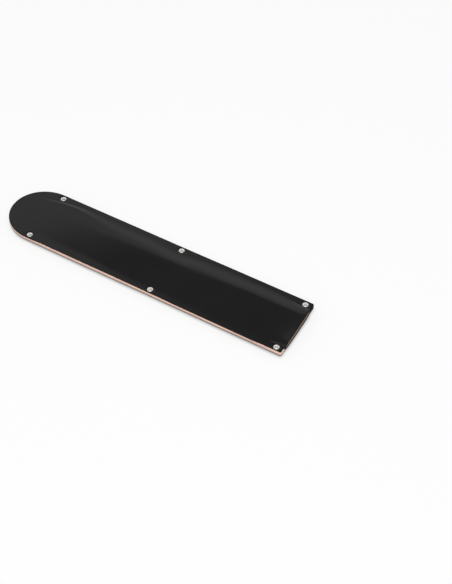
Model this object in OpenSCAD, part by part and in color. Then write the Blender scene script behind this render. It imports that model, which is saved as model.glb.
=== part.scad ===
/* [Outline] */
// Length from the end of the rounded nose to the open mouth
guard_l = 335; // [270:1:420]
// Width across the two long edges
guard_w = 68.8; // [60:0.2:90]
// Length of the rounded nose, from its end to where the long edges run straight
nose_l = 38.5; // [26:0.5:50]
// Radius of the two corners at the mouth
mouth_corner_r = 2.2; // [1.8:0.1:5]
// How far the middle rivets draw each long edge in
edge_pinch = 0.2; // [0:0.1:1]
// Half length of the drawn-in stretch of edge
edge_pinch_l = 45; // [25:1:60]

/* [Leather] */
// Thickness of the front panel
front_t = 2.4; // [2:0.1:3.5]
// Thickness of the back panel
back_t = 2.4; // [2:0.1:3.5]
// Radius that the outer corner of every cut edge is burnished to
edge_round = 0.4; // [0.3:0.1:1.6]

/* [Pocket] */
// Rise of the front panel over the pocket
front_rise = 2.5; // [2.2:0.1:5]
// Depth of the back panel's belly under the pocket
back_rise = 2.1; // [1.2:0.1:4]
// Width of the level strip along the middle of both panels
crown_flat_w = 12; // [8:1:20]
// Power of the curve from the level strip down to the joined rim, higher is squarer
crown_power = 2.6; // [2:0.1:4]
// The same power at the mouth, where the pocket opens out squarer
mouth_power = 6; // [2:0.5:8]
// Length over which the curve turns squarer towards the mouth
mouth_square_l = 30; // [15:1:60]
// Distance from the nose to the closed end of the pocket
pocket_start = 14; // [10:1:24]
// Length over which the pocket opens to its full height
pocket_taper_l = 46; // [30:1:80]
// Leather between a rivet's head and the crease where the pocket starts
rim_margin = 0.45; // [0.3:0.05:2]

/* [Rivets] */
// Distance of the nose pair of rivets from the nose
rivet_nose_x = 41.1; // [36:0.1:60]
// Distance of the middle pair of rivets from the nose
rivet_middle_x = 187; // [140:1:220]
// Distance of the mouth pair of rivets from the mouth
rivet_mouth_inset = 7.5; // [6:0.5:15]
// Distance of both rows of rivets from the long edges
rivet_row_inset = 4.9; // [4.3:0.1:7]
// Diameter of a rivet post's head, on the front
post_head_d = 5.8; // [5.5:0.1:7]
// Height of a rivet post's head
post_head_h = 1.2; // [0.9:0.05:1.6]
// Diameter of the dimple in the middle of a post's head
dimple_d = 2.4; // [1.6:0.1:3]
// Depth of the dimple
dimple_depth = 0.5; // [0.2:0.05:0.6]
// Diameter of the post's shank
shank_d = 3.2; // [2.8:0.1:3.8]
// Diameter of the bore in the post's shank
shank_bore_d = 2; // [1.6:0.1:2.2]
// Diameter of a rivet cap, on the back
cap_d = 5.8; // [5.5:0.1:7]
// Height of a rivet cap
cap_h = 1; // [0.8:0.05:1.3]
// Height of the straight side below the dome of a head or cap
dome_side_h = 0.35; // [0.2:0.05:0.5]
// Length of the stud on the cap that snaps into the post
stud_l = 2.6; // [1.5:0.1:3]

/* [Fits] */
// How deep heads and caps are pressed into the leather
head_sink = 0.3; // [0.25:0.05:0.5]
// Gap around a head or cap in its pressed seat
seat_clear = 0.08; // [0.02:0.01:0.2]
// Gap around a shank in the leather
hole_clear = 0.1; // [0.02:0.01:0.25]
// Gap around the cap's stud in the post's bore
stud_clear = 0.04; // [0.02:0.01:0.1]
// Gap between the end of the shank and the cap
shank_end_clear = 0.1; // [0.02:0.01:0.2]

/* [Hidden] */
$fn = 64;
// The nose starts at this angle round its half ellipse, so that its end is a short chord
NOSE_ANGLE = 5;
// Steps of the mesh along the nose, the straight length, a mouth corner and a rounded edge
NOSE_STEPS = 12;
LENGTH_STEPS = 19;
CORNER_STEPS = 3;
EDGE_STEPS = 3;
// Steps from the level strip down to the crease
CROWN_STEPS = 6;
// Small overlap that lets a cut run clear through its face
CUT = 1;

half_w = guard_w / 2;
// The widest head decides how much flat rim both panels keep
rim_w = rivet_row_inset + max(post_head_d, cap_d) / 2 + rim_margin;
// Height of the plane where the two rims meet, over the surface that the belly rests on
joint_z = back_rise + back_t;
front_rim_z = joint_z + front_t;
back_rim_z = joint_z - back_t;
// Leather left between the floors of the two pressed seats
grip_l = front_t + back_t - 2 * head_sink;
rivet_row_y = half_w - rivet_row_inset;

PLACES = [
    ["nose_left", rivet_nose_x, 1],
    ["nose_right", rivet_nose_x, -1],
    ["middle_left", rivet_middle_x, 1],
    ["middle_right", rivet_middle_x, -1],
    ["mouth_left", guard_l - rivet_mouth_inset, 1],
    ["mouth_right", guard_l - rivet_mouth_inset, -1],
];

// How far the long edge is drawn in at a distance x from the nose
function pinch(x) = edge_pinch * exp(-pow((x - rivet_middle_x) / edge_pinch_l, 2));

// A station of the outline: distance from the nose, half width, and the inward normal on the +Y side
function nose_station(angle) =
    let (
        dx = nose_l * sin(angle) / cos(NOSE_ANGLE),
        dy = half_w * cos(angle),
        size = norm([dx, dy])
    )
    [nose_l * (1 - cos(angle) / cos(NOSE_ANGLE)), half_w * sin(angle) - pinch(0), dy / size, -dx / size];

function edge_station(x) = [x, half_w - pinch(x), 0, -1];

function corner_station(angle) = [
    guard_l - mouth_corner_r * (1 - sin(angle)),
    half_w - pinch(guard_l) - mouth_corner_r * (1 - cos(angle)),
    -sin(angle),
    -cos(angle)
];

STATIONS = concat(
    [for (i = [0:NOSE_STEPS - 1]) nose_station(NOSE_ANGLE + (90 - NOSE_ANGLE) * i / NOSE_STEPS)],
    [for (i = [0:LENGTH_STEPS - 1])
        edge_station(nose_l + (guard_l - mouth_corner_r - nose_l) * i / LENGTH_STEPS)],
    [for (i = [0:CORNER_STEPS]) corner_station(90 * i / CORNER_STEPS)]
);

// Columns of the mesh across the panel, as shares of the half width inside the rounded edge
crease_share = (half_w - rim_w) / (half_w - edge_round);
flat_share = crown_flat_w / 2 / (half_w - edge_round);
half_shares = concat([flat_share], [for (k = [1:CROWN_STEPS])
    flat_share + (crease_share - flat_share) * k / CROWN_STEPS]);
SHARES = concat(
    [for (k = [CROWN_STEPS:-1:0]) -half_shares[k]],
    [0],
    half_shares
);

// Power of the crown's curve at a distance x from the nose
function power_at(x) =
    crown_power
    + (mouth_power - crown_power) * pow(max(0, 1 - (guard_l - x) / mouth_square_l), 2);

// Share of the full rise: 1 over the level strip, 0 at the crease and on the rim
function rise_across(share, x) =
    1 - pow(min(1, max(0, (abs(share) - flat_share) / (crease_share - flat_share))), power_at(x));

// Share of the full rise: 0 at the closed end of the pocket, 1 once it is fully open
function rise_along(x) = 1 - pow(1 - min(1, max(0, (x - pocket_start) / pocket_taper_l)), 2);

// Levels of the rounded edge, from the side wall (0) to the panel's face (EDGE_STEPS)
function level_inset(level) = edge_round * (1 - cos(90 * level / EDGE_STEPS));
function level_drop(level) = edge_round * (1 - sin(90 * level / EDGE_STEPS));

// Plan position of a station's point at an edge level, on side -1 or 1
function edge_xy(station, level, side) = [
    station[0] + level_inset(level) * station[2],
    side * (station[1] + level_inset(level) * station[3])
];

// One point: plan position, height over the joint plane on the given face
function at_height(xy, height, facing) = [xy[0] - guard_l / 2, xy[1], joint_z + facing * height];

// A station's row of plan positions and drops, from the right edge to the left one
function row_plan(station) =
    let (inner = edge_xy(station, EDGE_STEPS, 1))
    concat(
        [for (level = [0:EDGE_STEPS]) [edge_xy(station, level, -1), level_drop(level), 1]],
        [for (share = SHARES) [[inner[0], inner[1] * share], 0, share]],
        [for (level = [EDGE_STEPS:-1:0]) [edge_xy(station, level, 1), level_drop(level), 1]]
    );

// The extra rows that round the panel's end over, outside an end station
function end_plan(station, level) =
    let (edge = edge_xy(station, level, 1))
    [for (share = SHARES) [[edge[0], edge[1] * share], level_drop(level), share]];

// Heights of the outer face (thickness t) and of the inner face (thickness 0) of a planned row
function face_points(plan, t, rise, facing) = [
    for (p = plan)
        at_height(
            p[0],
            t - (t > 0 ? p[1] : 0) + rise * rise_across(p[2], p[0][0]) * rise_along(p[0][0]),
            facing
        )
];

// Two triangles of each quad between two rows of point numbers
function strip(a, b) = [
    for (k = [0:len(a) - 2])
        each [[a[k], a[k + 1], b[k + 1]], [a[k], b[k + 1], b[k]]]
];

function strips(rows) = [for (k = [0:len(rows) - 2]) each strip(rows[k], rows[k + 1])];

function numbers(first, count) = [for (k = [0:count - 1]) first + k];

function flipped(faces) = [for (f = faces) [f[0], f[2], f[1]]];

// One moulded leather sheet: facing is 1 for the front panel and -1 for the back one
module moulded_sheet(t, rise, facing) {
    rows = [for (s = STATIONS) row_plan(s)];
    columns = len(rows[0]);
    middle = len(SHARES);
    ends = [STATIONS[0], STATIONS[len(STATIONS) - 1]];
    end_rows = [for (s = ends) for (level = [0:EDGE_STEPS - 1]) end_plan(s, level)];
    plans = concat(rows, end_rows);
    outer = [for (plan = plans) each face_points(plan, t, rise, facing)];
    inner = [for (plan = plans) each face_points(plan, 0, rise, facing)];
    shift = len(outer);
    last = len(rows) - 1;
    row_numbers = [for (i = [0:last]) numbers(i * columns, columns)];
    // Rows over an end, from the side wall to the row that the face's own mesh ends with
    end_numbers = [for (e = [0, 1])
        let (row = row_numbers[e * last])
        concat(
            [for (level = [0:EDGE_STEPS - 1])
                concat(
                    [row[level]],
                    numbers((last + 1) * columns + (e * EDGE_STEPS + level) * middle, middle),
                    [row[columns - 1 - level]]
                )],
            [[for (k = [EDGE_STEPS:columns - 1 - EDGE_STEPS]) row[k]]]
        )];
    face = concat(
        strips(row_numbers),
        strips(end_numbers[0]),
        flipped(strips(end_numbers[1]))
    );
    right_edge = [for (row = row_numbers) row[0]];
    left_edge = [for (row = row_numbers) row[columns - 1]];
    walls = concat(
        strip([for (k = right_edge) k + shift], right_edge),
        strip(left_edge, [for (k = left_edge) k + shift]),
        strip(end_numbers[0][0], [for (k = end_numbers[0][0]) k + shift]),
        strip([for (k = end_numbers[1][0]) k + shift], end_numbers[1][0])
    );
    back_face = flipped([for (f = face) [for (k = f) k + shift]]);
    all_faces = concat(face, back_face, walls);
    polyhedron(
        points = concat(outer, inner),
        faces = facing > 0 ? all_faces : flipped(all_faces),
        convexity = 4
    );
}

// Places its children over every rivet
module at_rivets() {
    for (place = PLACES)
        at_rivet(place) children();
}

module at_rivet(place) {
    translate([place[1] - guard_l / 2, place[2] * rivet_row_y, 0]) children();
}

// A low dome on a short straight side, standing on z = 0
module dome(d, h) {
    crown_h = h - dome_side_h;
    ball_r = (d * d / 4 + crown_h * crown_h) / (2 * crown_h);
    intersection() {
        cylinder(d = d, h = h);
        translate([0, 0, h - ball_r]) sphere(r = ball_r);
    }
}

// Upper sheet of leather, moulded up over the pocket
module front_panel() {
    color([0.13, 0.13, 0.135])
    difference() {
        moulded_sheet(front_t, front_rise, 1);
        at_rivets() {
            translate([0, 0, joint_z - CUT]) cylinder(d = shank_d + 2 * hole_clear, h = front_t + 2 * CUT);
            translate([0, 0, front_rim_z - head_sink])
                cylinder(d = post_head_d + 2 * seat_clear, h = head_sink + CUT);
        }
    }
}

// Lower sheet of leather, with a shallow belly that the guard lies on
module back_panel() {
    color([0.13, 0.13, 0.135])
    difference() {
        moulded_sheet(back_t, back_rise, -1);
        at_rivets() {
            translate([0, 0, back_rim_z - CUT]) cylinder(d = shank_d + 2 * hole_clear, h = back_t + 2 * CUT);
            translate([0, 0, back_rim_z - CUT])
                cylinder(d = cap_d + 2 * seat_clear, h = head_sink + CUT);
        }
    }
}

// Post half of a rivet: dimpled head on the front, hollow shank down through both sheets
module rivet_post(place) {
    seat_z = front_rim_z - head_sink;
    shank_l = grip_l - shank_end_clear;
    dimple_r = (dimple_d * dimple_d / 4 + dimple_depth * dimple_depth) / (2 * dimple_depth);
    color([0.78, 0.78, 0.79])
    at_rivet(place)
    translate([0, 0, seat_z])
    difference() {
        union() {
            dome(post_head_d, post_head_h);
            translate([0, 0, -shank_l]) cylinder(d = shank_d, h = shank_l + dome_side_h);
        }
        translate([0, 0, post_head_h - dimple_depth + dimple_r]) sphere(r = dimple_r);
        // The bore ends one clearance past the tip of the stud
        translate([0, 0, -shank_l - CUT])
            cylinder(d = shank_bore_d, h = CUT + stud_l);
    }
}

// Cap half of a rivet: plain dome on the back, with the stud that snaps into the post
module rivet_cap(place) {
    color([0.74, 0.74, 0.75])
    at_rivet(place)
    translate([0, 0, back_rim_z + head_sink]) {
        mirror([0, 0, 1]) dome(cap_d, cap_h);
        translate([0, 0, -dome_side_h])
            cylinder(d = shank_bore_d - 2 * stud_clear, h = dome_side_h + stud_l);
    }
}

front_panel();
back_panel();
for (place = PLACES) {
    rivet_post(place);
    rivet_cap(place);
}
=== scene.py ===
"""Looks of a leather guard: two riveted sheets of black leather with raw tan edges."""

import math

import bmesh
import bpy
import numpy as np
from mathutils import Euler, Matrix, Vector


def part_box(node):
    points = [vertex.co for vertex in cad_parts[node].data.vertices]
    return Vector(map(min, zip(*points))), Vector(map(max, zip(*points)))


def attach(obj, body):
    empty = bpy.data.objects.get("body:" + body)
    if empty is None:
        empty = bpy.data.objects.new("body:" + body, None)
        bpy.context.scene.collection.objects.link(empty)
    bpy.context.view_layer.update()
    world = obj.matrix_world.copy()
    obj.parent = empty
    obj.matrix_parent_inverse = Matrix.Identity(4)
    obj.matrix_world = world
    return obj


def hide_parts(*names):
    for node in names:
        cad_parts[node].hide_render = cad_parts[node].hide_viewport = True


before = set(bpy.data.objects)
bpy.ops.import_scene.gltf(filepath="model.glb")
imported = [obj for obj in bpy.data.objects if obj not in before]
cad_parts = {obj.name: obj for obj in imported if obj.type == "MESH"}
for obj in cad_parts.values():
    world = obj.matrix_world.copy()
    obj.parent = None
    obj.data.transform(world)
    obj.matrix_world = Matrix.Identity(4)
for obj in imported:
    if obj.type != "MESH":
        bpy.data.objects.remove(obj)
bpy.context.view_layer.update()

MM = 0.001

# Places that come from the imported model
FRONT_LOW, FRONT_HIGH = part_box("front_panel")
BACK_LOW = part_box("back_panel")[0]
NOSE_X = FRONT_LOW.x
MOUTH_X = FRONT_HIGH.x
HALF_W = FRONT_HIGH.y
JOINT_Z = FRONT_LOW.z
PLACES = [name[len("rivet_post_"):] for name in sorted(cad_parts) if name.startswith("rivet_post_")]

# Which way a sheet's grain or a rivet's dome faces
UP = 1
DOWN = -1

# Leather sheets
SHEET_T = 2.4 * MM
NOSE_L = 38.5 * MM
NOSE_ANGLE = math.radians(5)
MOUTH_CORNER_R = 2.2 * MM
PINCH = 0.2 * MM
PINCH_REACH = 45 * MM
BURNISH_R = 0.4 * MM
INNER_R = 0.3 * MM
# Width of the worn corner, from the grain face out to the cut edge
CORNER_W = 0.95 * MM

# How far black runs outward over that corner on the front sheet's right edge, at distances from the nose
BLACK_RIGHT_AT = np.array((44, 58, 150, 215, 304, 316)) * MM
BLACK_RIGHT = np.array((1.2, 0.65, 0.65, 0.98, 0.98, 0.42)) * MM
# The same on the back sheet's right edge, and on the nose and the left edge of both
BLACK_RIGHT_BACK = 1.9 * MM
BLACK_LEFT = 1.4 * MM
# Across the guard, the stretch over which the one changes into the other
BLACK_CHANGE = (-29 * MM, -23 * MM)
# At the mouth it covers the whole edge, and this is where that starts and is full
BLACK_MOUTH = 6 * MM
BLACK_MOUTH_CHANGE = (MOUTH_X - 1.6 * MM, MOUTH_X - 0.7 * MM)
BLACK_FADE = 0.15 * MM
BLACK_FADE_BACK = 0.6 * MM
# The right rim is paler, browner and rougher: how that fades inward from the outline, and towards the other
# side
PALE_RIM_FADE = (0.6 * MM, 2.6 * MM)
PALE_RIM_SIDE = (-30 * MM, -24 * MM)

# Pocket
FLAT_HALF = 6 * MM
CROWN_POWER = 2.6
MOUTH_POWER = 9
MOUTH_SQUARE = 40 * MM
POCKET_START = 14 * MM
POCKET_TAPER = 46 * MM
RIM_AT_RIVET = 8.25 * MM
RIM_BETWEEN = 4.8 * MM
RIM_REACH = 20 * MM
CREASE_SOFTNESS = 0.05

# The front sheet is highest along a line left of the middle, and lies lower towards the nose. Each
# stretch named CHANGE is in distances from the nose, and the first value changes into the second there
SPINE_Y = 11 * MM
SPINE_Y_MOUTH = 15 * MM
SPINE_CHANGE = (195 * MM, 285 * MM)
SPINE_TAPER = 150 * MM
SPINE_EASE = 1.7
SPINE_START_SOFTNESS = 0.03
SPINE_SOFTNESS = 0.09
# Its right rim, and how softly it meets that
RIM_RIGHT_NOSE = 10 * MM
RIM_RIGHT = 7.8 * MM
RIM_RIGHT_CHANGE = (90 * MM, 145 * MM)
RIGHT_SOFTNESS = 0.03
# Width of its fall down to the left rim
FALL_STEEP = 3.6 * MM
FALL_EASY = 16 * MM
FALL_CHANGE = (46 * MM, 125 * MM)
# At the nose the fall starts further in from the left edge, up to this stretch
NOSE_RIM = 4 * MM
NOSE_RIM_END = (26 * MM, 48 * MM)

# Slow unevenness: heights of two waves, their lengths per radian along and across, and their phases
LONG_WAVE_H = 0.06 * MM
LONG_WAVE_X = 37 * MM
LONG_WAVE_Y = 21 * MM
LONG_PHASE_X = 1.1
LONG_PHASE_Y = 0.4
SHORT_WAVE_H = 0.03 * MM
SHORT_WAVE_X = 17 * MM
SHORT_WAVE_Y = 26 * MM
SHORT_PHASE = 2.0
# They are lowered by this, so that their crests stay level with the solid's top
WAVE_DROP = 0.05 * MM

# Rivets
HEAD_H = 1.2 * MM
CAP_H = 1.0 * MM
HEAD_SIDE = 0.35 * MM
DOME_RIM_R = 0.22 * MM
DOME_RIM_DROP = 0.02 * MM
DOME_FOOT = 0.05 * MM
# Degrees round a dome's rim at which it has a ring of points
DOME_RIM_ANGLES = (25, 50, 70, 90)
DIMPLE_R = 1.2 * MM
DIMPLE_DEPTH = 0.5 * MM
DIMPLE_SOFTNESS = 0.03 * MM
# The dimple's own points reach this far out, and the dome's go on from a little further
DIMPLE_REACH = 1.5 * DIMPLE_R
DOME_RESUMES = 1.55 * DIMPLE_R
SHANK_R = 1.6 * MM
SHANK_BEVEL = 0.2 * MM
BORE_R = 1.0 * MM
BORE_DEPTH = 2.6 * MM
STUD_R = 0.96 * MM
STUD_BEVEL = 0.25 * MM
HEAD_SINK = 0.3 * MM
HOLE_CLEAR = 0.1 * MM
PUNCH_L = 30 * MM
PRESS_REACH = 1.9 * MM

# Fineness of the meshes
NOSE_ROWS = 43
CORNER_ROWS = 9
ROW_STEP = 1.7 * MM
ROW_STEP_RIVET = 0.35 * MM
ROW_STEP_REACH = 7 * MM
COLUMN_STEP = 1.2 * MM
COLUMN_STEP_RIM = 0.35 * MM
COLUMN_RIM_START = 21 * MM
SPREAD_SAMPLES = 4000
# Degrees between loops round the cut edge's corners, and shares of its wall that have a loop
BURNISH_STEP = 10
INNER_STEP = 30
WALL_SHARES = (0.33, 0.67)
DOME_STEPS = 16
DIMPLE_STEPS = 24
TURNED_SIDES = 72
HOLE_SIDES = 48
ON_AXIS = 1e-9
SHARP_ANGLE = math.radians(40)

# Places of a sheet's materials in its list
GRAIN = 0
CUT_EDGE = 1
FLESH = 2

# Colours as red, green and blue
BLACK_DEEP = (0.0110, 0.0107, 0.0114)
BLACK_PALE = (0.0150, 0.0146, 0.0155)
BLACK_PALE_RIM = (0.05, 0.043, 0.038)
DYE = (0.013, 0.012, 0.012)
# The raw cut edge of each sheet: deep, pale and warm. The back sheet's colours are darker than the front's:
# painted shade on the lower sheet's edge
FRONT_EDGE = ((0.66, 0.45, 0.385), (0.94, 0.695, 0.605), (0.90, 0.635, 0.515))
BACK_EDGE_SHADED = ((0.42, 0.27, 0.215), (0.60, 0.42, 0.35), (0.54, 0.36, 0.27))
FLESH_DEEP = (0.36, 0.235, 0.17)
FLESH_PALE = (0.50, 0.35, 0.27)
FLESH_BLOTCH = (0.40, 0.27, 0.20)
POST_TINT = (0.765, 0.735, 0.70)
CAP_TINT = (0.74, 0.715, 0.68)

# Strength of each mark in the colours, and the value that a noise swings about
PALE_RIM_STRENGTH = 0.3
FIBRE_STRENGTH = 0.4
FIBRE_DIM = 0.6
DYE_RAGGED = 0.7
BLOTCH_STRENGTH = 0.5
NICKEL_DIM = 0.86
NOISE_MIDDLE = 0.5

# Roughness of each surface, and what its marks add
GRAIN_ROUGHNESS = 0.09
HANDLED_ROUGHER = 0.05
PALE_RIM_ROUGHER = 0.05
EDGE_ROUGHNESS = 0.5
EDGE_ROUGHER = 0.2
FLESH_ROUGHNESS = 0.85
FLESH_ROUGHER = 0.1
NICKEL_ROUGHNESS = 0.24
FINGERED_ROUGHER = 0.1
HAIRLINE_ROUGHER = 0.12
GRAIN_SPECULAR = 0.18
EDGE_SPECULAR = 0.05

# Sockets of the Mix node when it mixes colours
MIX_FIRST = 6
MIX_SECOND = 7
MIX_RESULT = 2

# Camera, solved from the photograph
LOOK_AT = Vector((85.5 * MM, 4.8 * MM, JOINT_Z + SHEET_T))
CAMERA_DISTANCE = 1.0479
CAMERA_YAW = math.radians(30.08)
CAMERA_PITCH = math.radians(50.14)
CAMERA_LENS = 66.15

# Studio
WHITE = 1.0
FLOOR_HALF = 4
FLOOR_SHADE = 0.8
SEEN_FLOOR_SHADE = 0.25
# Reach of the floor's painted contact shadow
PAINTED_SHADOW_REACH = 3.0 * MM
HIGH_SKY = 0.16
SKY_EDGE_LOW = math.sin(math.radians(48.3))
SKY_EDGE_HIGH = math.sin(math.radians(51.3))
SOFTBOX_SIZE = 1.6
SOFTBOX_PLACE = Vector((0.35, -0.61, 1.44))
SOFTBOX_POWER = 10


class Wire:
    """An output of a shader node. Plain operators between wires and numbers add Math nodes."""

    def __init__(self, recipe, socket):
        self.recipe = recipe
        self.socket = socket

    def math(self, operation, *values):
        return self.recipe.add("ShaderNodeMath", {"operation": operation}, dict(enumerate(values)))

    def __add__(self, other):
        return self.math("ADD", self, other)

    def __sub__(self, other):
        return self.math("SUBTRACT", self, other)

    def __mul__(self, other):
        return self.math("MULTIPLY", self, other)

    def __radd__(self, other):
        return self.math("ADD", other, self)

    def __rsub__(self, other):
        return self.math("SUBTRACT", other, self)

    def __rmul__(self, other):
        return self.math("MULTIPLY", other, self)


class Recipe:
    """A node tree that is filled through one method, add()."""

    def __init__(self, tree):
        self.tree = tree
        self.tree.nodes.clear()

    def add(self, kind, settings=None, inputs=None, output=0):
        """Adds a node, sets it up, then fills its inputs with wires or plain values."""
        node = self.tree.nodes.new(kind)
        for name, value in (settings or {}).items():
            setattr(node, name, value)
        for key, value in (inputs or {}).items():
            if isinstance(value, Wire):
                self.tree.links.new(value.socket, node.inputs[key])
            else:
                node.inputs[key].default_value = value
        return Wire(self, node.outputs[output]) if len(node.outputs) else None

    def place(self, stretch):
        """Where a point is on the object, in metres, with each axis stretched."""
        where = self.add("ShaderNodeTexCoord", output="Object")
        return self.add("ShaderNodeVectorMath", {"operation": "MULTIPLY"}, {0: where, 1: stretch})

    def noise(self, scale, detail, roughness=0.5, stretch=(1, 1, 1)):
        values = {"Vector": self.place(stretch), "Scale": scale, "Detail": detail, "Roughness": roughness}
        return self.add("ShaderNodeTexNoise", inputs=values)

    def cells(self, scale, stretch=(1, 1, 1)):
        """Distance to the nearest furrow between rounded cells."""
        values = {"Vector": self.place(stretch), "Scale": scale}
        return self.add("ShaderNodeTexVoronoi", {"feature": "DISTANCE_TO_EDGE"}, values)

    def ramp(self, value, low, high):
        """0 where value is at low or under it, 1 at high or over it, and smooth between."""
        inputs = {"Value": value, "From Min": low, "From Max": high}
        return self.add("ShaderNodeMapRange", {"interpolation_type": "SMOOTHSTEP"}, inputs)

    def paint(self, share, first, second):
        """The colour first where share is 0, second where it is 1."""
        inputs = {"Factor": share, MIX_FIRST: as_colour(first), MIX_SECOND: as_colour(second)}
        return self.add("ShaderNodeMix", {"data_type": "RGBA"}, inputs, MIX_RESULT)

    def mark(self, name):
        """A value that the mesh carries at each of its points."""
        return self.add("ShaderNodeAttribute", {"attribute_name": name}, output="Fac")

    def bump(self, height, distance, under=None):
        inputs = {"Height": height, "Distance": distance}
        if under:
            inputs["Normal"] = under
        return self.add("ShaderNodeBump", inputs=inputs)


def as_colour(value):
    return value if isinstance(value, Wire) else (*value, 1.0)


def dimmed(colour, share):
    return tuple(part * share for part in colour)


def grey(value):
    return (value, value, value)


def surface(name, colour, roughness, normal, **constants):
    """A material with one Principled shader. Call it with a function that fills each varying socket."""
    material = bpy.data.materials.new(name)
    material.use_nodes = True
    recipe = Recipe(material.node_tree)
    inputs = {"Base Color": colour(recipe), "Roughness": roughness(recipe), "Normal": normal(recipe)}
    inputs.update(constants)
    shader = recipe.add("ShaderNodeBsdfPrincipled", inputs=inputs)
    recipe.add("ShaderNodeOutputMaterial", inputs={"Surface": shader})
    return material


def black_grain():
    """Smooth black leather: satin, finely grained, a little paler and browner along the right rim."""
    def colour(recipe):
        cloud = recipe.noise(scale=38, detail=3)
        # A paler, browner strip along the right rim
        pale_rim_share = recipe.mark("pale_rim") * recipe.ramp(recipe.noise(scale=900, detail=4), low=0.45, high=0.7)
        black = recipe.paint(cloud, BLACK_DEEP, BLACK_PALE)
        return recipe.paint(pale_rim_share * PALE_RIM_STRENGTH, black, BLACK_PALE_RIM)

    def roughness(recipe):
        handled = recipe.noise(scale=55, detail=4)
        return GRAIN_ROUGHNESS + handled * HANDLED_ROUGHER + recipe.mark("pale_rim") * PALE_RIM_ROUGHER

    def normal(recipe):
        soft = recipe.bump(recipe.noise(scale=160, detail=2), distance=0.015 * MM)
        grain = recipe.ramp(recipe.cells(scale=1500), low=0, high=0.25)
        grained = recipe.bump(grain, distance=0.004 * MM, under=soft)
        return recipe.bump(recipe.noise(scale=5200, detail=3), distance=0.0015 * MM, under=grained)

    return surface("black_grain", colour, roughness, normal, **{"Specular IOR Level": GRAIN_SPECULAR})


def cut_edge(name, deep, pale, warm):
    """Raw cut edge: tan fibres in thin layers, with black dye run over its corner."""
    def fine_fibres(recipe):
        return recipe.noise(scale=2400, detail=4, roughness=0.65, stretch=(0.7, 0.7, 1.3))

    def colour(recipe):
        layers = recipe.noise(scale=420, detail=4, roughness=0.6, stretch=(0.16, 0.16, 3.0))
        patches = recipe.noise(scale=90, detail=3)
        tan = recipe.paint(recipe.ramp(layers, low=0.3, high=0.7), deep, pale)
        warmed = recipe.paint(recipe.ramp(patches, low=0.35, high=0.75), tan, warm)
        fibres = recipe.ramp(fine_fibres(recipe), low=0.48, high=0.68)
        fibrous = recipe.paint(fibres * FIBRE_STRENGTH, warmed, dimmed(deep, FIBRE_DIM))
        run = recipe.mark("dye") + (recipe.noise(scale=700, detail=3) - NOISE_MIDDLE) * DYE_RAGGED
        return recipe.paint(recipe.ramp(run, low=0.5, high=0.75), fibrous, DYE)

    def roughness(recipe):
        return EDGE_ROUGHNESS + recipe.noise(scale=500, detail=3) * EDGE_ROUGHER

    def normal(recipe):
        fibres = recipe.noise(scale=650, detail=5, roughness=0.65, stretch=(0.2, 0.2, 2.5))
        frayed = recipe.bump(fibres, distance=0.06 * MM)
        return recipe.bump(fine_fibres(recipe), distance=0.03 * MM, under=frayed)

    return surface(name, colour, roughness, normal, **{"Specular IOR Level": EDGE_SPECULAR})


def flesh_side():
    """The inside of the sheets: undyed, with a short nap."""
    def colour(recipe):
        nap = recipe.noise(scale=1400, detail=4, roughness=0.6)
        blotch = recipe.noise(scale=70, detail=3)
        tan = recipe.paint(recipe.ramp(nap, low=0.3, high=0.7), FLESH_DEEP, FLESH_PALE)
        return recipe.paint(blotch * BLOTCH_STRENGTH, tan, FLESH_BLOTCH)

    def roughness(recipe):
        return FLESH_ROUGHNESS + recipe.noise(scale=900, detail=2) * FLESH_ROUGHER

    def normal(recipe):
        return recipe.bump(recipe.noise(scale=2400, detail=4, roughness=0.65), distance=0.08 * MM)

    return surface("flesh_side", colour, roughness, normal)


def nickel(name, tint):
    """Nickel plate: bright, faintly scratched, dull where fingers have been."""
    def colour(recipe):
        fingered = recipe.ramp(recipe.noise(scale=520, detail=3), low=0.4, high=0.75)
        return recipe.paint(fingered, tint, dimmed(tint, NICKEL_DIM))

    def roughness(recipe):
        lines = recipe.noise(scale=2600, detail=3, roughness=0.6, stretch=(0.15, 2.0, 1.0))
        hairlines = recipe.ramp(lines, low=0.55, high=0.75)
        fingered = recipe.noise(scale=700, detail=2)
        return NICKEL_ROUGHNESS + fingered * FINGERED_ROUGHER + hairlines * HAIRLINE_ROUGHER

    def normal(recipe):
        scratches = recipe.noise(scale=3000, detail=2, stretch=(0.2, 2.0, 1.0))
        return recipe.bump(scratches, distance=0.002 * MM)

    return surface(name, colour, roughness, normal, Metallic=1.0)


def blend(first, second, share):
    """first where share is 0, second where it is 1, and in proportion between."""
    return first + (second - first) * share


def smooth_above_zero(value, softness):
    """value where it is well over zero, 0 where it is well under, with a soft bend between."""
    return softness * np.logaddexp(0, value / softness)


def smooth_step(value, low, high):
    """0 up to low, 1 from high on, and smooth between."""
    share = np.clip((value - low) / (high - low), 0, 1)
    return share * share * (3 - 2 * share)


def hump(distance, reach, power=2):
    """1 where distance is 0, fading out past reach."""
    return np.exp(-((distance / reach) ** power))


def rivet_points():
    """Centre and head radius of each rivet's post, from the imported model."""
    points = []
    for place in PLACES:
        low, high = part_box("rivet_post_" + place)
        points.append(((low.x + high.x) / 2, (low.y + high.y) / 2, (high.x - low.x) / 2))
    return points


RIVETS = rivet_points()
HEAD_R = RIVETS[0][2]
PAIRS_X = [x for x, y, head_r in RIVETS if y > 0]
MIDDLE_X = sorted(PAIRS_X)[len(PAIRS_X) // 2]


def pinch(x):
    """How far the middle rivets draw each long edge in."""
    return PINCH * hump(x - MIDDLE_X, PINCH_REACH)


def spread(length, spacing):
    """Places from 0 to length whose distances follow spacing(place)."""
    fine = np.linspace(0, length, SPREAD_SAMPLES)
    count = np.concatenate([[0], np.cumsum(np.diff(fine) / spacing(fine[1:]))])
    steps = int(round(count[-1]))
    return np.interp(np.linspace(0, count[-1], steps + 1), count, fine)


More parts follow.
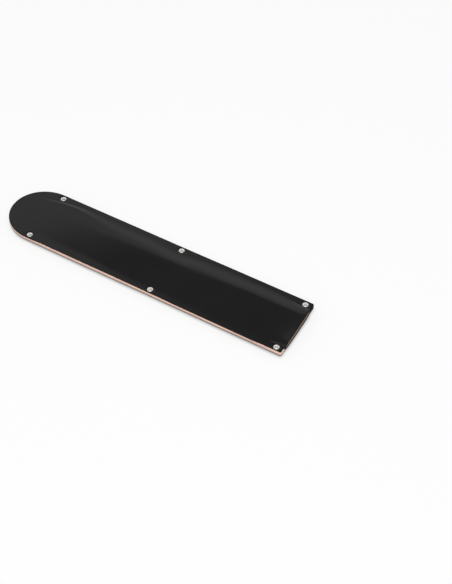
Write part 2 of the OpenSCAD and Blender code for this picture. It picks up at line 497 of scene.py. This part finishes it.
def nose_stations():
    """Rows round the nose, an ellipse with a blunt tip."""
    angles = np.linspace(NOSE_ANGLE, math.pi / 2, NOSE_ROWS, endpoint=False)
    normals = np.stack([NOSE_L * np.sin(angles) / math.cos(NOSE_ANGLE), HALF_W * np.cos(angles)])
    normals = normals / np.linalg.norm(normals, axis=0)
    x = NOSE_X + NOSE_L * (1 - np.cos(angles) / math.cos(NOSE_ANGLE))
    return np.stack([x, HALF_W * np.sin(angles) - pinch(x), normals[1], -normals[0]], axis=1)


def side_stations():
    """Rows along the sides, closer together at the rivets."""
    start = NOSE_X + NOSE_L

    def spacing(run):
        near = sum(hump(start + run - rivet_x, ROW_STEP_REACH, power=4) for rivet_x in PAIRS_X)
        return blend(ROW_STEP, ROW_STEP_RIVET, np.minimum(near, 1))

    x = start + spread(MOUTH_X - MOUTH_CORNER_R - start, spacing)[:-1]
    return np.stack([x, HALF_W - pinch(x), 0 * x, 0 * x - 1], axis=1)


def corner_stations():
    """Rows round the mouth's corners."""
    turn = np.linspace(0, math.pi / 2, CORNER_ROWS)
    x = MOUTH_X - MOUTH_CORNER_R * (1 - np.sin(turn))
    half = HALF_W - pinch(MOUTH_X) - MOUTH_CORNER_R * (1 - np.cos(turn))
    return np.stack([x, half, -np.sin(turn), -np.cos(turn)], axis=1)


def shares():
    """Columns across the guard as shares of the half width, closer together along the rims."""
    def spacing(reach):
        return np.where(reach < COLUMN_RIM_START, COLUMN_STEP, COLUMN_STEP_RIM)

    half = spread(HALF_W, spacing) / HALF_W
    return np.concatenate([-half[:0:-1], half])


# Rows along the guard: x, half width, and the inward normal of the edge on the +Y side
STATIONS = np.concatenate([nose_stations(), side_stations(), corner_stations()])
SHARES = shares()


def half_width(x):
    return np.interp(x, STATIONS[:, 0], STATIONS[:, 1])


def rim_width(x):
    """Width of the flat rim: the rivets hold more of it down than the leather between them."""
    hold = np.max([hump(x - rivet_x, RIM_REACH) for rivet_x in PAIRS_X], axis=0)
    return blend(RIM_BETWEEN, RIM_AT_RIVET, hold)


def pocket_share(x, y):
    """Share of the back sheet's full rise at a point of the plan."""
    half = half_width(x)
    scale = half / HALF_W
    flat = FLAT_HALF * scale
    crease = half - rim_width(x) * scale
    reach = np.clip((np.abs(y) - flat) / (crease - flat), 0, None)
    across = smooth_above_zero(1 - reach ** CROWN_POWER, CREASE_SOFTNESS)
    run = smooth_above_zero((x - NOSE_X - POCKET_START) / POCKET_TAPER, CREASE_SOFTNESS)
    along = 1 - (1 - np.minimum(run, 1)) ** 2
    return np.minimum(across, 1) * along


def right_fall(y, run, spine, half, scale):
    """Share of the rise right of the spine: a long gentle way down to the right rim."""
    rim = blend(RIM_RIGHT_NOSE, RIM_RIGHT, smooth_step(run, *RIM_RIGHT_CHANGE)) * scale
    way = np.clip((spine - y) / (spine + half - rim), 0, None)
    drop = np.hypot(way, SPINE_SOFTNESS) - SPINE_SOFTNESS
    full_drop = math.hypot(1, SPINE_SOFTNESS) - SPINE_SOFTNESS
    return smooth_above_zero(1 - drop / full_drop, RIGHT_SOFTNESS)


def left_fall(y, run, spine, crease, scale):
    """Share of the rise left of the spine: full up to a brink, then down to the left rim."""
    foot = crease - NOSE_RIM * scale * (1 - smooth_step(run, *NOSE_RIM_END))
    width = blend(FALL_STEEP, FALL_EASY, smooth_step(run, *FALL_CHANGE)) * scale
    brink = np.maximum(spine, foot - width)
    return 1 - smooth_step(y, brink, foot)


def spine_share(x, y):
    """Share of the front sheet's rise: gentle to the right, steeper to the left, square at the mouth."""
    half = half_width(x)
    scale = half / HALF_W
    run = x - NOSE_X
    crease = half - rim_width(x) * scale
    spine = blend(SPINE_Y, SPINE_Y_MOUTH, smooth_step(run, *SPINE_CHANGE)) * scale
    left = left_fall(y, run, spine, crease, scale)
    right = right_fall(y, run, spine, half, scale)
    across = np.where(y > spine, left, right)
    start = smooth_above_zero((run - POCKET_START) / SPINE_TAPER, SPINE_START_SOFTNESS)
    along = 1 - (1 - np.minimum(start, 1)) ** SPINE_EASE
    squarer = np.clip(1 - (MOUTH_X - x) / MOUTH_SQUARE, 0, 1) ** 2
    reach = np.clip((np.abs(y) - FLAT_HALF) / (crease - FLAT_HALF), 0, 1)
    return along * blend(across, 1 - reach ** MOUTH_POWER, squarer)


def waviness(x, y):
    """Slow unevenness of hand-moulded leather."""
    long_wave = np.sin(x / LONG_WAVE_X + LONG_PHASE_X) * np.cos(y / LONG_WAVE_Y + LONG_PHASE_Y)
    short_wave = np.sin(x / SHORT_WAVE_X + y / SHORT_WAVE_Y + SHORT_PHASE)
    return LONG_WAVE_H * long_wave + SHORT_WAVE_H * short_wave - WAVE_DROP


def pressed(x, y):
    """Depth of the dents that the rivets press into the leather round them."""
    depth = 0 * x
    for rivet_x, rivet_y, head_r in RIVETS:
        away = np.hypot(x - rivet_x, y - rivet_y)
        depth = depth + HEAD_SINK * (1 - smooth_step(away, head_r, head_r + PRESS_REACH))
    return depth


def edge_levels():
    """Round a cut edge from the grain face to the flesh side: inset, height, distance run outward."""
    flat = CORNER_W - BURNISH_R
    wall_top = SHEET_T - BURNISH_R
    wall = wall_top - INNER_R
    levels = [(CORNER_W, SHEET_T, 0.0), (CORNER_W - flat / 2, SHEET_T, flat / 2)]
    for angle in range(90, -1, -BURNISH_STEP):
        turn = math.radians(angle)
        inset = BURNISH_R * (1 - math.cos(turn))
        height = SHEET_T - BURNISH_R * (1 - math.sin(turn))
        levels.append((inset, height, flat + BURNISH_R * (math.pi / 2 - turn)))
    corner_run = levels[-1][2]
    for share in WALL_SHARES:
        levels.append((0.0, wall_top - share * wall, corner_run + share * wall))
    for angle in range(0, 91, INNER_STEP):
        turn = math.radians(angle)
        inset = INNER_R * (1 - math.cos(turn))
        height = INNER_R * (1 - math.sin(turn))
        levels.append((inset, height, corner_run + wall + INNER_R * turn))
    return levels


def rim_loop():
    """Rows and columns of the grid's border, once round."""
    rows = len(STATIONS)
    columns = len(SHARES)
    right = [(row, 0) for row in range(rows)]
    mouth = [(rows - 1, column) for column in range(1, columns - 1)]
    left = [(row, columns - 1) for row in range(rows - 1, -1, -1)]
    nose = [(0, column) for column in range(columns - 2, 0, -1)]
    return np.array(right + mouth + left + nose)


LOOP_ROWS, LOOP_COLUMNS = rim_loop().T


def sheet_layers():
    """Rows, columns, inset, height and run of each layer: whole faces outermost, loops between them."""
    rows, columns = np.meshgrid(np.arange(len(STATIONS)), np.arange(len(SHARES)), indexing="ij")
    whole = (rows.ravel(), columns.ravel())
    levels = edge_levels()
    loops = [(LOOP_ROWS, LOOP_COLUMNS, *level) for level in levels[1:-1]]
    return [(*whole, *levels[0]), *loops, (*whole, *levels[-1])]


LAYERS = sheet_layers()
LAYER_STARTS = np.concatenate([[0], np.cumsum([len(layer[0]) for layer in LAYERS])])[:-1]


def plan(row, column, inset):
    """Plan position of a grid point once the outline is drawn in by inset."""
    x, half, normal_x, normal_y = STATIONS[row].T
    return x + inset * normal_x, SHARES[column] * (half + inset * normal_y)


def sheet_heights(x, y, height, rise, facing):
    """Height over the joint plane of a point at that height in the sheet's thickness."""
    if facing == UP:
        shape = (rise + waviness(x, y)) * spine_share(x, y)
    else:
        shape = rise * pocket_share(x, y)
    return height + shape - pressed(x, y) * height / SHEET_T


def pale_rim_mark(x, y):
    """How pale the grain is: 1 along the right edge, fading to 0 inward and round the ends."""
    edge_gap = half_width(x) - np.abs(y)
    return (1 - smooth_step(edge_gap, *PALE_RIM_FADE)) * (1 - smooth_step(y, *PALE_RIM_SIDE))


def black_reach(x, y, facing):
    """How far black runs outward over the cut edge's worn corner, and over the whole edge at the mouth."""
    right = np.interp(x - NOSE_X, BLACK_RIGHT_AT, BLACK_RIGHT) if facing == UP else BLACK_RIGHT_BACK
    off_right = smooth_step(y, *BLACK_CHANGE)
    at_mouth = smooth_step(x, *BLACK_MOUTH_CHANGE) * off_right
    return blend(right, BLACK_LEFT, off_right) + BLACK_MOUTH * at_mouth


def dye_mark(x, y, run, facing):
    """1 where black covers the cut edge, 0 where it is raw."""
    reach = black_reach(x, y, facing)
    fade = BLACK_FADE if facing == UP else BLACK_FADE_BACK
    return 1 - smooth_step(run, reach - fade, reach + fade)


def sheet_points(rise, facing):
    """A sheet's points, layer by layer, and the marks that each carries."""
    points = []
    pale_rim = []
    dye = []
    for rows, columns, inset, height, run in LAYERS:
        x, y = plan(rows, columns, inset)
        z = JOINT_Z + facing * sheet_heights(x, y, height, rise, facing)
        points.append(np.stack([x, y, z], axis=1))
        pale_rim.append(pale_rim_mark(x, y))
        dye.append(dye_mark(x, y, run, facing))
    return np.concatenate(points), {"pale_rim": np.concatenate(pale_rim), "dye": np.concatenate(dye)}


def sheet_faces():
    """A sheet's faces, wound for grain that faces up, and the place of each one's material."""
    width = len(SHARES)
    cells = (np.arange(len(STATIONS) - 1)[:, None] * width + np.arange(width - 1)[None, :]).ravel()
    grain = np.stack([cells, cells + width, cells + width + 1, cells + 1], axis=1)
    flesh = grain[:, ::-1] + LAYER_STARTS[-1]
    border = LOOP_ROWS * width + LOOP_COLUMNS
    loops = [start + np.arange(len(LOOP_ROWS)) for start in LAYER_STARTS[1:-1]]
    loops = [border, *loops, LAYER_STARTS[-1] + border]
    faces = [grain, flesh]
    for upper, lower in zip(loops, loops[1:]):
        faces.append(np.stack([upper, lower, np.roll(lower, -1), np.roll(upper, -1)], axis=1))
    faces = np.concatenate(faces)
    edge_count = len(faces) - len(grain) - len(flesh)
    return faces, [GRAIN] * len(grain) + [FLESH] * len(flesh) + [CUT_EDGE] * edge_count


def leather_sheet(name, rise, facing, materials):
    """One moulded sheet with grain outside, a raw edge all round and the flesh side inside."""
    points, marks = sheet_points(rise, facing)
    faces, material_places = sheet_faces()
    if facing == DOWN:
        faces = faces[:, ::-1]
    mesh = bpy.data.meshes.new(name)
    mesh.from_pydata(points.tolist(), [], faces.tolist())
    mesh.polygons.foreach_set("material_index", material_places)
    for label, values in marks.items():
        mesh.attributes.new(label, "FLOAT", "POINT").data.foreach_set("value", values)
    for material in materials:
        mesh.materials.append(material)
    piece = new_piece(name, mesh)
    punch(piece, [(x, y) for x, y, head_r in RIVETS], SHANK_R + HOLE_CLEAR)
    return piece


def new_piece(name, mesh):
    piece = bpy.data.objects.new(name, mesh)
    bpy.context.scene.collection.objects.link(piece)
    return piece


def punches(centres, radius, materials):
    """Round bars that stand where the holes go. Their sides leave the cut edge's material."""
    mesh = bpy.data.meshes.new("punches")
    shape = bmesh.new()
    size = {"radius1": radius, "radius2": radius, "depth": PUNCH_L, "segments": HOLE_SIDES}
    for x, y in centres:
        bar = bmesh.ops.create_cone(shape, cap_ends=True, **size)
        bmesh.ops.translate(shape, verts=bar["verts"], vec=(x, y, JOINT_Z))
    shape.to_mesh(mesh)
    shape.free()
    for material in materials:
        mesh.materials.append(material)
    mesh.polygons.foreach_set("material_index", [CUT_EDGE] * len(mesh.polygons))
    return new_piece("punches", mesh)


def punch(piece, centres, radius):
    """Cuts round holes straight through a sheet."""
    cutter = punches(centres, radius, piece.data.materials)
    cut = piece.modifiers.new("holes", "BOOLEAN")
    cut.operation = "DIFFERENCE"
    cut.solver = "EXACT"
    cut.object = cutter
    bpy.context.view_layer.update()
    cut_mesh = bpy.data.meshes.new_from_object(piece.evaluated_get(bpy.context.evaluated_depsgraph_get()))
    piece.modifiers.clear()
    piece.data = cut_mesh
    bpy.data.objects.remove(cutter)


def dome_profile(radius, height):
    """Radius and height of a low dome with a rounded rim, from its middle to its underside."""
    crown = height - HEAD_SIDE
    ball_r = (radius * radius + crown * crown) / (2 * crown)
    rim_start = radius - DOME_RIM_R
    points = []
    for r in np.linspace(0, 1, DOME_STEPS) * rim_start:
        points.append((r, height - ball_r + math.sqrt(ball_r * ball_r - r * r)))
    rim_top = points[-1][1] - DOME_RIM_DROP
    for angle in DOME_RIM_ANGLES:
        turn = math.radians(angle)
        points.append((rim_start + DOME_RIM_R * math.sin(turn), rim_top - DOME_RIM_R * (1 - math.cos(turn))))
    return points + [(radius, DOME_FOOT), (radius - DOME_FOOT, 0)]


def dimpled(profile, height):
    """Presses a round dimple into the middle of a dome's profile."""
    ball_r = (DIMPLE_R ** 2 + DIMPLE_DEPTH ** 2) / (2 * DIMPLE_DEPTH)
    r = np.linspace(0, DIMPLE_REACH, DIMPLE_STEPS)
    dome_z = np.interp(r, *np.array(profile[:DOME_STEPS]).T)
    floor_z = height - DIMPLE_DEPTH + ball_r - np.sqrt(np.maximum(ball_r ** 2 - r ** 2, 0))
    z = -DIMPLE_SOFTNESS * np.logaddexp(-dome_z / DIMPLE_SOFTNESS, -floor_z / DIMPLE_SOFTNESS)
    return [*zip(r, z)] + [point for point in profile if point[0] > DOME_RESUMES]


def turned_points(profile, centre, facing):
    """Points of a turned piece, and the numbers of those in each ring. A ring on the axis is one point."""
    points = []
    rings = []
    for r, z in profile:
        count = 1 if r < ON_AXIS else TURNED_SIDES
        rings.append([len(points) + side % count for side in range(TURNED_SIDES)])
        for side in range(count):
            turn = 2 * math.pi * side / count
            x = centre[0] + r * math.cos(turn)
            y = centre[1] + r * math.sin(turn)
            points.append((x, y, centre[2] + facing * z))
    return points, rings


def turned(name, profile, centre, facing, material):
    """A closed round piece: its profile, from the axis round to the axis again, turned about z."""
    points, rings = turned_points(profile, centre, facing)
    faces = []
    for upper, lower in zip(rings, rings[1:]):
        for side in range(TURNED_SIDES):
            after = (side + 1) % TURNED_SIDES
            corners = (upper[after], upper[side], lower[side], lower[after])
            faces.append(tuple(dict.fromkeys(corners)))
    if facing == DOWN:
        faces = [face[::-1] for face in faces]
    mesh = bpy.data.meshes.new(name)
    mesh.from_pydata(points, [], faces)
    mesh.materials.append(material)
    mesh.shade_smooth()
    mesh.set_sharp_from_angle(angle=SHARP_ANGLE)
    return new_piece(name, mesh)


def rivet_post(place, material):
    """Dimpled head on a hollow shank."""
    low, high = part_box("rivet_post_" + place)
    seat_z = JOINT_Z + SHEET_T - HEAD_SINK
    shank_end = low.z - seat_z
    bore_end = shank_end + BORE_DEPTH
    profile = dimpled(dome_profile(HEAD_R, HEAD_H), HEAD_H)
    profile += [(SHANK_R, 0), (SHANK_R, shank_end + SHANK_BEVEL), (SHANK_R - SHANK_BEVEL, shank_end)]
    profile += [(BORE_R, shank_end), (BORE_R, bore_end), (0, bore_end)]
    centre = ((low.x + high.x) / 2, (low.y + high.y) / 2, seat_z)
    return turned("post_" + place, profile, centre, UP, material)


def rivet_cap(place, material):
    """Plain dome with the stud that snaps into the post."""
    low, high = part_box("rivet_cap_" + place)
    seat_z = low.z + CAP_H
    stud_end = seat_z - high.z
    profile = dome_profile((high.x - low.x) / 2, CAP_H)
    profile += [(STUD_R, 0), (STUD_R, stud_end + STUD_BEVEL), (STUD_R - STUD_BEVEL, stud_end), (0, stud_end)]
    centre = ((low.x + high.x) / 2, (low.y + high.y) / 2, seat_z)
    return turned("cap_" + place, profile, centre, DOWN, material)


def stand_for(piece, node):
    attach(piece, "root")
    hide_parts(node)


def build_guard():
    grain = black_grain()
    flesh = flesh_side()
    pink_edge = cut_edge("cut_edge_front", *FRONT_EDGE)
    # The back sheet's cut edge gets darker colours than the front's: painted shade for the lower layer
    back_edge_painted_shade = cut_edge("cut_edge_back_painted_shade", *BACK_EDGE_SHADED)
    front_rise = FRONT_HIGH.z - JOINT_Z - SHEET_T
    back_rise = JOINT_Z - BACK_LOW.z - SHEET_T
    front = leather_sheet("front_leather", front_rise, UP, [grain, pink_edge, flesh])
    back = leather_sheet("back_leather", back_rise, DOWN, [grain, back_edge_painted_shade, flesh])
    stand_for(front, "front_panel")
    stand_for(back, "back_panel")
    post_nickel = nickel("nickel_post", POST_TINT)
    cap_nickel = nickel("nickel_cap", CAP_TINT)
    for place in PLACES:
        stand_for(rivet_post(place, post_nickel), "rivet_post_" + place)
        stand_for(rivet_cap(place, cap_nickel), "rivet_cap_" + place)


def studio_world():
    """White all round up to a backdrop's height, dim above it, and plain white to the camera."""
    world = bpy.data.worlds.new("studio")
    world.use_nodes = True
    bpy.context.scene.world = world
    recipe = Recipe(world.node_tree)
    direction = recipe.add("ShaderNodeTexCoord", output="Generated")
    up = recipe.add("ShaderNodeSeparateXYZ", inputs={"Vector": direction}, output="Z")
    sky = recipe.paint(recipe.ramp(up, SKY_EDGE_LOW, SKY_EDGE_HIGH), grey(WHITE), grey(HIGH_SKY))
    seen = recipe.add("ShaderNodeLightPath", output="Is Camera Ray")
    light = recipe.add("ShaderNodeBackground", inputs={"Color": recipe.paint(seen, sky, grey(WHITE))})
    recipe.add("ShaderNodeOutputWorld", inputs={"Surface": light})


def floor_paint():
    """A pale matt floor. It is lifted to white for the camera and for reflections, and keeps its shadows.
    Near the guard, ambient occlusion dims the lift: a painted contact shadow.
    """
    material = bpy.data.materials.new("floor")
    material.use_nodes = True
    recipe = Recipe(material.node_tree)
    camera_ray = recipe.add("ShaderNodeLightPath", output="Is Camera Ray")
    glossy_ray = recipe.add("ShaderNodeLightPath", output="Is Glossy Ray")
    shade = recipe.paint(camera_ray, grey(FLOOR_SHADE), grey(SEEN_FLOOR_SHADE))
    matt = recipe.add("ShaderNodeBsdfDiffuse", inputs={"Color": shade})
    lift = camera_ray * (WHITE - SEEN_FLOOR_SHADE) + glossy_ray * (WHITE - FLOOR_SHADE)
    # Painted contact shadow: the lift is dimmed by ambient occlusion near the guard
    painted_contact_shadow = recipe.add("ShaderNodeAmbientOcclusion", inputs={"Distance": PAINTED_SHADOW_REACH}, output="AO")
    lifted = recipe.paint(lift * painted_contact_shadow, grey(0), grey(WHITE))
    glow = recipe.add("ShaderNodeEmission", inputs={"Color": lifted})
    both = recipe.add("ShaderNodeAddShader", inputs={0: matt, 1: glow})
    recipe.add("ShaderNodeOutputMaterial", inputs={"Surface": both})
    return material


def studio_floor():
    mesh = bpy.data.meshes.new("floor")
    shape = bmesh.new()
    bmesh.ops.create_grid(shape, x_segments=2, y_segments=2, size=FLOOR_HALF)
    shape.to_mesh(mesh)
    shape.free()
    mesh.materials.append(floor_paint())
    floor = new_piece("floor", mesh)


def softbox():
    lamp = bpy.data.lights.new("softbox", "AREA")
    lamp.shape = "SQUARE"
    lamp.size = SOFTBOX_SIZE
    lamp.energy = SOFTBOX_POWER
    holder = bpy.data.objects.new("softbox", lamp)
    holder.location = SOFTBOX_PLACE
    holder.rotation_euler = SOFTBOX_PLACE.to_track_quat("Z", "Y").to_euler()
    bpy.context.scene.collection.objects.link(holder)


def camera():
    lens = bpy.data.cameras.new("camera")
    lens.lens = CAMERA_LENS
    holder = bpy.data.objects.new("camera", lens)
    holder.rotation_euler = Euler((math.pi / 2 - CAMERA_PITCH, 0, CAMERA_YAW))
    away = Vector((0, 0, CAMERA_DISTANCE))
    away.rotate(holder.rotation_euler)
    holder.location = LOOK_AT + away
    bpy.context.scene.collection.objects.link(holder)
    bpy.context.scene.camera = holder


build_guard()
studio_world()
studio_floor()
softbox()
camera()
bpy.context.scene.view_settings.view_transform = "Standard"
